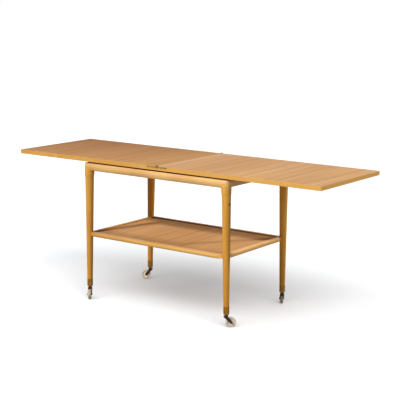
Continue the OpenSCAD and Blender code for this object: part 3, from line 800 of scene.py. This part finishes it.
# The rails' paler light colour is partly painted highlight, for the light on their rounded,
# polished faces.
RAIL = Timber("rail_timber", paint(238, 190, 120), paint(180, 120, 50), paint(96, 46, 4),
              ring=0.005, contrast=0.4, streaks=0.5, clouds=1.3, rough=0.34, coat=0.45,
              sheen=0.3, fade=0.5)
SHELF_RAIL = Timber("shelf_rail_timber", paint(226, 172, 92), paint(166, 104, 34),
                    paint(104, 54, 10), ring=0.005, contrast=0.4, streaks=0.5, clouds=0.9,
                    coat=0.15, fade=0.9)
EDGING = Timber("lipping_timber", paint(228, 172, 90), paint(184, 122, 46), paint(122, 72, 26),
                ring=0.0045, contrast=0.3, coat=0.05, sheen=0.1, fade=0.3)
BEECH = Timber("runner_timber", paint(206, 170, 122), paint(170, 128, 82), paint(120, 84, 50),
               ring=0.005, contrast=0.35, rough=0.6, coat=0.0)
RIGHT_SHEET = Veneer("veneer_right", paint(216, 168, 116), paint(204, 154, 98),
                     paint(148, 96, 50), (3.1, 0.4, 0.2),
                     pale=paint(212, 168, 130), pale_w=0.05, pale_share=0.45, figure=0.34,
                     sheet_shade=0.26, sheet_shade_right=-0.5, sheet_shade_back=0.3)
LEFT_SHEET = Veneer("veneer_left", paint(199, 150, 96), paint(188, 138, 82),
                    paint(130, 80, 38), (7.7, 1.9, 0.6), sheet_shade_right=-0.78, sheet_shade_back=0.9,
                    coat=0.0, sheen=0.02)
SHELF_SHEET = Veneer("veneer_shelf", paint(207, 159, 106), paint(195, 145, 90),
                     paint(142, 90, 46), (5.2, 0.8, 0.4), figure=0.3,
                     sheet_shade_right=-0.6, sheet_shade_back=0.5, coat=0.0, sheen=0.01)
HINGE_BRASS = Metal("hinge_brass", paint(235, 199, 111), paint(124, 99, 42), 0.5, 0.36)
FERRULE_BRASS = Metal("ferrule_brass", paint(210, 154, 66), paint(126, 82, 22), 0.6, 0.36)
HORN_BRASS = Metal("horn_brass", paint(98, 70, 50), paint(38, 25, 18), 0.5, 0.42, 0.85)
SCREW_BRASS = Metal("screw_brass", paint(190, 160, 96), paint(96, 76, 42), 0.5, 0.34)
BLACKENED = Metal("blackened_steel", paint(26, 23, 21), paint(8, 7, 7), 0.5, 0.5, 0.4)
AXLE_STEEL = Metal("axle_steel", paint(86, 66, 50), paint(42, 32, 26), 0.5, 0.42, 0.8)
STEEL = Metal("turned_steel", paint(150, 146, 140), paint(92, 88, 82), 0.4, 0.3)
CREAM_HUB = Moulded("cream_hub", paint(252, 238, 220), paint(186, 162, 132), 0.0115, 0.0142)
CREAM_TYRE = Moulded("cream_tyre", paint(234, 217, 194), paint(150, 128, 104), 0.0195, 0.0215,
                     0.5, 0.5, 0.55)


def cover(name: str, material: bpy.types.Material) -> None:
    """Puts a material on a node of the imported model."""
    NODES[name].material_slots[0].material = material
    LOG.info("covered %s with %s", name, material.name)


@dataclass
class Top:
    """The two leaves with their lipping, runners and edge hinges."""

    lip: float = 0.008
    skin: float = 0.00015
    scarf_x: float = -0.5636
    scarf_w: float = 0.0018
    glue: Colour = paint(248, 222, 172)
    glue_share: float = 0.8
    knuckle: float = 0.0042
    knuckle_tarnish: float = 0.5

    def lipping(self, side: str, sheet: Veneer) -> bpy.types.Material:
        """Makes a leaf's lipping finish: grain along each strip, veneer over its faces.

        Args:
            side: Which leaf, "left" or "right".
            sheet: The veneer that runs on over the strips.

        Returns:
            The material.
        """
        low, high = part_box(f"{side}_leaf_lipping")
        shader = Shader(f"{EDGING.name}_{side}")
        x, y, z = shader.split(shader.place())
        long_strip = abs(y) > high.y - self.lip
        along = long_strip * x + (1 - long_strip) * y
        across = long_strip * y + (1 - long_strip) * x
        # The lipping is painted darker towards the left, as painted shade where the light falls
        # off.
        wood = EDGING.look(shader, along, across, z, x * -EDGING.fade)
        joint = (abs(x - self.scarf_x) < self.scarf_w / 2) * (y < low.y + self.lip)
        wood.colour = shader.mix(joint * self.glue_share, wood.colour, self.glue)
        face = shader.math("MAXIMUM", z > high.z - self.skin, z < low.z + self.skin)
        return EDGING.finish(shader, shader.blend(face, wood, sheet.look(shader)))

    def hinge_finish(self) -> bpy.types.Material:
        """Makes brass that has darkened round the pin, where hands and cloths miss it.

        Returns:
            The material.
        """
        shader = Shader(HINGE_BRASS.name)
        x, _, _ = shader.split(shader.place())
        by_pin = abs(x) < self.knuckle
        return HINGE_BRASS.finish(
            shader, *HINGE_BRASS.look(shader, by_pin * self.knuckle_tarnish))

    def dress(self) -> None:
        """Gives every node of the top its finish."""
        hinge = self.hinge_finish()
        for side, sheet in zip(SIDES, (LEFT_SHEET, RIGHT_SHEET)):
            cover(f"{side}_leaf_panel", sheet.material())
            cover(f"{side}_leaf_lipping", self.lipping(side, sheet))
            for end in ENDS:
                cover(f"{side}_hinge_plate_{end}", hinge)
        cover("hinge_pins", hinge)
        for end in ENDS:
            cover(f"runner_{end}", BEECH.material(Grain.ALONG, (1.3, 0.2, 0.1)))


@dataclass
class Screws:
    """The slotted wood screws of one node: heads, slots and tapered shanks.

    shank_share and tip_share keep the parts' sides from lying on each other. point_share and
    tip_long are taken of the shank's radius, slot_long of the head's, and slot_deep of the
    slot's width.
    """

    node: str
    body: str
    slot: str
    head_r: float
    shank_r: float
    length: float
    slot_w: float
    faces: Callable[[Vector], Point]
    seed: int = 4
    sides: int = 48
    shank_share: float = 0.98
    tip_share: float = 0.96
    point_share: float = 0.2
    tip_long: float = 2.0
    tip_lap: float = 1.01
    slot_long: float = 3.0
    slot_deep: float = 1.6

    def islands(self) -> list[list[Vector]]:
        """Finds the node's separate screws, in the order of its mesh.

        Returns:
            The points of each screw.
        """
        loose = bmesh.new()
        loose.from_mesh(NODES[self.node].data)
        bmesh.ops.remove_doubles(loose, verts=loose.verts, dist=TOUCHING)
        islands, met = [], set()
        for first in loose.verts:
            if first in met:
                continue
            island = [first]
            met.add(first)
            for vert in island:
                near = [link.other_vert(vert) for link in vert.link_edges]
                near = [other for other in near if other not in met]
                met.update(near)
                island.extend(near)
            islands.append([vert.co.copy() for vert in island])
        loose.free()
        return islands

    def seeds(self) -> bpy.types.Mesh:
        """Puts a point at the middle of each head, with the way that the head faces.

        Returns:
            The points, as a mesh.
        """
        points, aims = [], []
        for island in self.islands():
            aim = Vector(self.faces(sum(island, Vector()) / len(island)))
            top = max(point.dot(aim) for point in island)
            lows = [min(point[i] for point in island) for i in range(3)]
            highs = [max(point[i] for point in island) for i in range(3)]
            middle = Vector((low + high) / 2 for low, high in zip(lows, highs))
            points.append(middle + aim * (top - middle.dot(aim)))
            aims.append(facing(aim).to_euler())
        mesh = bpy.data.meshes.new(f"{self.node}_seeds")
        mesh.from_pydata(points, [], [])
        turns = mesh.attributes.new("aim", "FLOAT_VECTOR", "POINT")
        for item, aim in zip(turns.data, aims):
            item.vector = aim
        return mesh

    def network(self) -> Network:
        """Draws the tree: one screw, then a copy on each seed, each turned by chance.

        Returns:
            The tree.
        """
        net = Network("wood_screws")
        head_r, shank_r = net.size("Head radius"), net.size("Shank radius")
        length, slot_w = net.size("Length"), net.size("Slot width")
        material = net.size("Finish", "Material")
        cone_h = head_r - shank_r
        tip_h = shank_r * self.tip_long
        shank_h = length - tip_h - cone_h / 2
        low = length * -1
        head = self.cone(net, head_r, shank_r, cone_h)
        shank = net.node("GeometryNodeMeshCylinder", {}, {
            "Vertices": self.sides, "Radius": shank_r * self.shank_share,
            "Depth": shank_h}, "Mesh")
        tip = self.cone(net, shank_r * self.tip_share, shank_r * self.point_share,
                        tip_h * self.tip_lap)
        whole = self.cut(net, "UNION", self.moved(net, head, cone_h * -1),
                         self.moved(net, shank, low + tip_h + shank_h / 2))
        whole = self.cut(net, "UNION", whole, self.moved(net, tip, low))
        cutter = net.node("GeometryNodeMeshCube", {}, {"Size": net.join(
            head_r * self.slot_long, slot_w, slot_w * self.slot_deep)}, "Mesh")
        solid = self.cut(net, "DIFFERENCE", whole, cutter)
        aim = net.node("GeometryNodeInputNamedAttribute", {"data_type": "FLOAT_VECTOR"},
                       {"Name": "aim"}, "Attribute")
        aimed = net.node("FunctionNodeEulerToRotation", {}, {0: aim})
        chance = net.node("FunctionNodeRandomValue", {"data_type": "FLOAT"}, {
            "Min": 0.0, "Max": math.pi, "Seed": self.seed}, "Value")
        spin = net.node("FunctionNodeEulerToRotation", {}, {0: net.join(0.0, 0.0, chance)})
        turned = net.node("FunctionNodeRotateRotation", {"rotation_space": "LOCAL"}, {
            "Rotation": aimed, "Rotate By": spin})
        placed = net.node("GeometryNodeInstanceOnPoints", {}, {
            "Points": net.seeds, "Instance": solid, "Rotation": turned})
        net.end(placed, material)
        return net

    def cone(self, net: Network, top_r: Value, foot_r: Value, height: Value) -> Value:
        """Draws a cone that is cut off at both ends.

        Args:
            net: The tree.
            top_r: The radius of its top.
            foot_r: The radius of its foot.
            height: Its height.

        Returns:
            The cone.
        """
        return net.node("GeometryNodeMeshCone", {}, {
            "Vertices": self.sides, "Radius Top": top_r, "Radius Bottom": foot_r,
            "Depth": height}, "Mesh")

    @staticmethod
    def moved(net: Network, shape: Value, z: Value) -> Value:
        """Lifts a shape."""
        return net.node("GeometryNodeTransform", {}, {
            "Geometry": shape, "Translation": net.join(0.0, 0.0, z)})

    @staticmethod
    def cut(net: Network, operation: str, first: Value, second: Value) -> Value:
        """Joins two solids, or takes the second out of the first.

        Args:
            net: The tree.
            operation: "UNION" or "DIFFERENCE".
            first: The first solid.
            second: The second solid.

        Returns:
            The new solid.
        """
        made = net.node(
            "GeometryNodeMeshBoolean", {"operation": operation, "solver": "EXACT"}, {}, "Mesh")
        ends = made.socket.node.inputs
        net.tree.links.new(first.socket, ends["Mesh 2" if operation == "UNION" else "Mesh 1"])
        net.tree.links.new(second.socket, ends["Mesh 2"])
        return made

    def build(self) -> None:
        """Makes the screws and puts them in the place of their node."""
        piece = self.network().grow(f"{self.node}_slotted", self.seeds(), {
            "Head radius": self.head_r, "Shank radius": self.shank_r, "Length": self.length,
            "Slot width": self.slot_w, "Finish": SCREW_BRASS.material()})
        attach(piece, self.body)
        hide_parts(self.node)


def screw_sets() -> list[Screws]:
    """Returns the trolley's sets of screws, each in the place of one node.

    Returns:
        The runners' screws, which face down, and the hinges', which face out of the edges.
    """
    def down(_: Vector) -> Point:
        """Faces down."""
        return 0.0, 0.0, -1.0

    def outwards(centre: Vector) -> Point:
        """Faces out of the nearer long edge."""
        return 0.0, math.copysign(1.0, centre.y), 0.0

    hinge = {"slot": "screw_brass", "head_r": 0.0023, "shank_r": 0.0011, "length": 0.016,
             "slot_w": 0.0006, "faces": outwards}
    return [
        Screws("runner_screws", "right_leaf", "screw_brass", 0.004, 0.002, 0.036, 0.001, down),
        Screws("left_hinge_screws", "left_leaf", **hinge),
        Screws("right_hinge_screws", "right_leaf", **hinge),
    ]


@dataclass
class Frame:
    """Legs, rails and shelf.

    slants say how far each leg's grain leans, in degrees, and tones how much darker than usual
    the leg is, as painted shade; a tone below 0 paints the leg lighter, as painted light. Over
    the last head_h metres a leg takes on the rails' polish and their paler colour, which is
    partly painted highlight, between head_from and head_to of that height.
    """

    slants: dict[str, float] = field(default_factory=lambda: {
        "front_left": 0.0, "front_right": 1.5, "back_left": -3.0, "back_right": 2.0})
    leg_shades: dict[str, float] = field(default_factory=lambda: {
        "front_left": 0.0, "front_right": 0.0, "back_left": 0.05, "back_right": -0.15})
    head_h: float = 0.044
    head_from: float = 0.1
    head_to: float = 0.7
    rail_slant: float = 4.0
    # How much darker the back shelf rail is painted: painted shade on its inner face, which lies
    # in the top's shadow.
    back_rail_shade: float = 0.5
    dent: Point = (0.3558, -0.2215, 0.5123)
    dent_r: float = 0.006

    def leg(self, corner: str, shift: Point, top: float) -> bpy.types.Material:
        """Makes a leg's finish: upright grain, and a head in the rails' polish and paler colour,
        which is partly painted highlight.

        Args:
            corner: The leg's corner of the trolley.
            shift: Where in the log the leg was cut, in metres.
            top: The height of the leg's top.

        Returns:
            The material.
        """
        timber = WILD if corner == "front_left" else TEAK
        shader = Shader(f"{timber.name}_{corner}")
        _, _, z = shader.split(shader.place())
        # The tone paints this leg darker or lighter than usual: painted shade on the back left
        # leg and painted light on the back right one.
        shaft = timber.cut(
            shader, Grain.UPRIGHT, shift, self.slants[corner], top, self.leg_shades[corner])
        # The head takes the rails' paler colour, partly painted highlight.
        head = RAIL.cut(shader, Grain.ALONG, shift, self.rail_slant, top)
        share = shader.ramp(
            (z - top) / self.head_h + 1, (self.head_from, 0.0), (self.head_to, 1.0))
        look = shader.blend(share, shaft, head)
        if corner == "front_right":
            bruise = shader.near(self.dent, self.dent_r)
            look.colour = shader.mix(bruise, look.colour, timber.pore)
            look.relief = look.relief - bruise
        return timber.finish(shader, look)

    def dress(self) -> None:
        """Gives every node of the frame its finish."""
        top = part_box("top_rail_front")[1].z
        for i, corner in enumerate(CORNERS):
            cover(f"leg_{corner}", self.leg(corner, (0.9 * i + 0.3, 0.5 * i, 1.7 * i), top))
            cover(f"ferrule_{corner}", FERRULE_BRASS.material())
        for i, end in enumerate(ENDS):
            cover(f"top_rail_{end}", RAIL.material(
                Grain.ALONG, (0.4 + i, 0.16, 0.55), slant=self.rail_slant, top=top))
            # The back shelf rail is painted darker by back_rail_shade, as painted shade.
            cover(f"shelf_rail_{end}", SHELF_RAIL.material(
                Grain.ALONG, (2.4 + i, 0.2, 0.25), dark=self.back_rail_shade * i))
            cover(f"guide_rail_{end}", BEECH.material(Grain.ALONG, (3.4 + i, 0.3, 0.2)))
        for i, side in enumerate(SIDES):
            cover(f"end_rail_{side}", RAIL.material(
                Grain.ACROSS, (0.3, 1.4 + i, 0.5), top=top))
            cover(f"shelf_rail_{side}",
                  SHELF_RAIL.material(Grain.ACROSS, (0.3, 2.4 + i, 0.2)))
        cover("slip_strips", BEECH.material(Grain.ALONG, (5.5, 0.1, 0.3)))
        cover("shelf_panel", SHELF_SHEET.material())
        cover("castor_sockets", HORN_BRASS.material())


@dataclass
class Castor:
    """One swivel castor, from its horn to its wheel.

    crease is the angle, in degrees, past which the hub's edges stay sharp.
    """

    corner: str
    wheel_r: float = 0.0215
    hub_r: float = 0.014
    tyre_w: float = 0.01255
    shoulder: float = 0.0037
    shoulder_steps: int = 7
    disc_w: float = 0.010
    web_w: float = 0.0082
    rim: float = 0.0014
    boss_r: float = 0.0055
    boss_w: float = 0.0134
    bore_r: float = 0.00256
    ease: float = 0.0004
    crease: float = 32.0
    steps: int = 96

    def axle(self) -> tuple[Point, Point]:
        """Returns the wheel's middle and the direction of its axle, from its joint."""
        roll = next(j for j in frame["joints"] if j["name"] == f"wheel_{self.corner}_roll")
        return tuple(roll["pos_m"]), tuple(roll["axis"])

    def tyre_network(self) -> Network:
        """Draws the tree: a rounded section swept round the wheel, turned on to its axle.

        Returns:
            The tree.
        """
        net = Network("tyre")
        outer, inner = net.size("Outer radius"), net.size("Inner radius")
        width, shoulder = net.size("Width"), net.size("Shoulder radius")
        middle, turn = net.size("Middle", "Vector"), net.size("Turn", "Vector")
        material = net.size("Finish", "Material")
        path = net.node("GeometryNodeCurvePrimitiveCircle", {}, {
            "Resolution": self.steps, "Radius": (outer + inner) * 0.5}, "Curve")
        upright = net.node("GeometryNodeSetCurveNormal", {"mode": "Z_UP"}, {"Curve": path})
        section = net.node("GeometryNodeCurvePrimitiveQuadrilateral", {}, {
            "Width": outer - inner, "Height": width}, "Curve")
        rounded = net.node("GeometryNodeFilletCurve", {"mode": "POLY"}, {
            "Curve": section, "Radius": shoulder, "Count": self.shoulder_steps,
            "Limit Radius": True})
        ring = net.node("GeometryNodeCurveToMesh", {}, {
            "Curve": upright, "Profile Curve": rounded, "Fill Caps": False})
        smooth = net.node("GeometryNodeSetShadeSmooth", {}, {"Geometry": ring})
        aimed = net.node("FunctionNodeEulerToRotation", {}, {0: turn})
        placed = net.node("GeometryNodeTransform", {}, {
            "Geometry": smooth, "Translation": middle, "Rotation": aimed})
        net.end(placed, material)
        return net

    def tyre(self) -> bpy.types.Object:
        """Makes the tyre.

        Returns:
            The tyre, at the origin.
        """
        centre, axle = self.axle()
        return self.tyre_network().grow(
            f"moulded_tyre_{self.corner}", bpy.data.meshes.new("no_seeds"), {
                "Outer radius": self.wheel_r, "Inner radius": self.hub_r,
                "Width": self.tyre_w, "Shoulder radius": self.shoulder,
                "Middle": centre, "Turn": facing(axle).to_euler(),
                "Finish": CREAM_TYRE.material(self.corner, centre, axle)})

    def hub_outline(self) -> list[tuple[float, float]]:
        """Draws the hub's section: a dished disc between its rim and its boss.

        Returns:
            Points as (distance from the axle, distance along it), once round the section.
        """
        face, web, end = self.disc_w / 2, self.web_w / 2, self.boss_w / 2
        ease, inside = self.ease, self.hub_r - self.rim
        half = [
            (self.bore_r, end - ease), (self.bore_r + ease, end), (self.boss_r - ease, end),
            (self.boss_r, end - ease), (self.boss_r, web + ease), (self.boss_r + ease, web),
            (inside - ease, web), (inside, web + ease), (inside + ease, face),
            (self.hub_r - ease, face), (self.hub_r, face - ease)]
        return half + [(radius, -along) for radius, along in reversed(half)]

    def hub(self) -> bpy.types.Object:
        """Turns the hub on its axle, from its outline.

        Returns:
            The hub, at the origin.
        """
        centre, axle = self.axle()
        turned = bmesh.new()
        rings = []
        for step in range(self.steps):
            turn = Matrix.Rotation(math.tau * step / self.steps, 4, "Z")
            rings.append([turned.verts.new(turn @ Vector((radius, 0.0, along)))
                          for radius, along in self.hub_outline()])
        # Joined here, because Blender's own spin orders its faces anew in each run.
        for ring, after in zip(rings, rings[1:] + rings[:1]):
            for i in range(len(ring)):
                turned.faces.new((ring[i - 1], ring[i], after[i], after[i - 1]))
        bmesh.ops.recalc_face_normals(turned, faces=turned.faces)
        for facet in turned.faces:
            facet.smooth = True
        turned.transform(Matrix.Translation(centre) @ facing(axle).to_matrix().to_4x4())
        mesh = bpy.data.meshes.new(f"turned_hub_{self.corner}")
        turned.to_mesh(mesh)
        turned.free()
        mesh.set_sharp_from_angle(angle=math.radians(self.crease))
        mesh.materials.append(CREAM_HUB.material(self.corner, centre, axle))
        LOG.info("turned %s with %d faces", mesh.name, len(mesh.polygons))
        return add_object(mesh.name, mesh)

    def build(self) -> None:
        """Makes the wheel's two pieces and puts them in the place of their nodes."""
        for piece, part in ((self.tyre(), "tyre"), (self.hub(), "hub")):
            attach(piece, f"wheel_{self.corner}")
            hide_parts(f"{part}_{self.corner}")

    def dress(self) -> None:
        """Gives every node of the castor its finish."""
        cover(f"horn_{self.corner}", HORN_BRASS.material())
        cover(f"stem_{self.corner}", STEEL.material())
        cover(f"rivet_{self.corner}", BLACKENED.material())
        cover(f"axle_{self.corner}", AXLE_STEEL.material())


@dataclass(frozen=True)
class Lamp:
    """One soft lamp, far enough off to light everything evenly.

    bearing is the side that it hangs on, in degrees from +X towards +Y, height its height above
    the horizon and spread how wide it looks from the trolley, in degrees. strength is the share
    of full light that it gives a surface that faces it.
    """

    name: str
    bearing: float
    height: float
    spread: float
    strength: float
    lit: Lit

    def hang(self, floor: bpy.types.Object) -> None:
        """Hangs the lamp, so that it falls on the floor alone or on all but the floor.

        Args:
            floor: The floor.
        """
        data = bpy.data.lights.new(self.name, "SUN")
        data.angle = math.radians(self.spread)
        data.energy = self.strength * math.pi
        lamp = add_object(self.name, data)
        lamp.rotation_euler = Euler(
            (0, math.radians(90 - self.height), math.radians(self.bearing)), "XYZ")
        lit_by = bpy.data.collections.new(f"{self.name}_falls_on")
        lit_by.objects.link(floor)
        lit_by.collection_objects[0].light_linking.link_state = self.lit.value
        lamp.light_linking.receiver_collection = lit_by


@dataclass
class Studio:
    """The camera, the floor, the sky and the lamps."""

    camera_at: Point = (2.8346, -3.8539, 1.3567)
    yaw: float = 35.835
    pitch: float = 10.662
    roll: float = 0.483
    lens: float = 101.3
    sensor: float = 36.0
    sight: float = 200.0
    floor_size: float = 60.0
    sky: float = 0.1
    bounce: float = 0.28
    tint: Colour = (0.97, 0.985, 1.0)
    lamps: tuple[Lamp, ...] = (
        Lamp("front_lamp", -105.6, 38.0, 5.0, 1.0, Lit.TROLLEY),
        Lamp("back_lamp", 54.0, 32.0, 5.0, 0.58, Lit.TROLLEY),
        Lamp("side_lamp", -25.0, 14.0, 30.0, 0.16, Lit.TROLLEY),
        Lamp("floor_lamp_right", -40.0, 40.0, 45.0, 0.61, Lit.FLOOR),
        Lamp("floor_lamp_front", -95.0, 40.0, 45.0, 0.37, Lit.FLOOR),
        Lamp("floor_lamp_left", -150.0, 40.0, 45.0, 0.08, Lit.FLOOR),
        Lamp("floor_dome", 0.0, 90.0, 160.0, 0.45, Lit.FLOOR),
    )

    def camera(self) -> None:
        """Places the camera as the photograph has it."""
        data = bpy.data.cameras.new("camera")
        data.lens = self.lens
        data.sensor_width = self.sensor
        data.clip_end = self.sight
        camera = add_object("camera", data)
        turn = (Matrix.Rotation(math.radians(self.yaw), 4, "Z")
                @ Matrix.Rotation(math.radians(90 - self.pitch), 4, "X")
                @ Matrix.Rotation(math.radians(self.roll), 4, "Z"))
        camera.matrix_world = Matrix.Translation(self.camera_at) @ turn
        bpy.context.scene.camera = camera

    def sky_light(self) -> None:
        """Sets an even sky that the camera, metal and glass see as white."""
        world = bpy.data.worlds.new("studio")
        bpy.context.scene.world = world
        world.use_nodes = True
        graph = Graph(world.node_tree)
        seen = graph.node("ShaderNodeLightPath", out="Is Camera Ray")
        for ray in ("Is Glossy Ray", "Is Transmission Ray"):
            seen = graph.math("MAXIMUM", seen, graph.node("ShaderNodeLightPath", out=ray))
        level = graph.node("ShaderNodeMapRange", {}, {
            "Value": seen, "To Min": self.sky, "To Max": 1.0})
        back = world.node_tree.nodes["Background"]
        graph.tree.links.new(level.socket, back.inputs["Strength"])
        back.inputs["Color"].default_value = (1.0, 1.0, 1.0, 1.0)

    def floor(self) -> bpy.types.Object:
        """Lays a plain pale floor that keeps the trolley's shadow.

        Returns:
            The floor.
        """
        half = self.floor_size / 2
        mesh = bpy.data.meshes.new("floor")
        corners = [(-half, -half, 0), (half, -half, 0), (half, half, 0), (-half, half, 0)]
        mesh.from_pydata(corners, [], [(0, 1, 2, 3)])
        floor = add_object("floor", mesh)
        shader = Shader("floor")
        seen = shader.node("ShaderNodeLightPath", out="Is Camera Ray")
        colour = shader.mix(seen, (self.bounce, self.bounce, self.bounce), self.tint)
        bsdf = shader.node("ShaderNodeBsdfDiffuse", {}, {"Color": colour})
        shader.tree.links.new(bsdf.socket, shader.end.inputs["Surface"])
        mesh.materials.append(shader.material)
        return floor

    def build(self) -> None:
        """Sets up the whole studio."""
        self.camera()
        self.sky_light()
        floor = self.floor()
        for lamp in self.lamps:
            lamp.hang(floor)
        bpy.context.scene.view_settings.view_transform = "Standard"


def main() -> None:
    """Builds the studio and dresses the trolley."""
    logging.basicConfig(level=logging.INFO, format="%(name)s: %(message)s")
    Studio().build()
    Frame().dress()
    Top().dress()
    for screws in screw_sets():
        screws.build()
    for corner in CORNERS:
        castor = Castor(corner)
        castor.dress()
        castor.build()


if __name__ == "__main__":
    main()
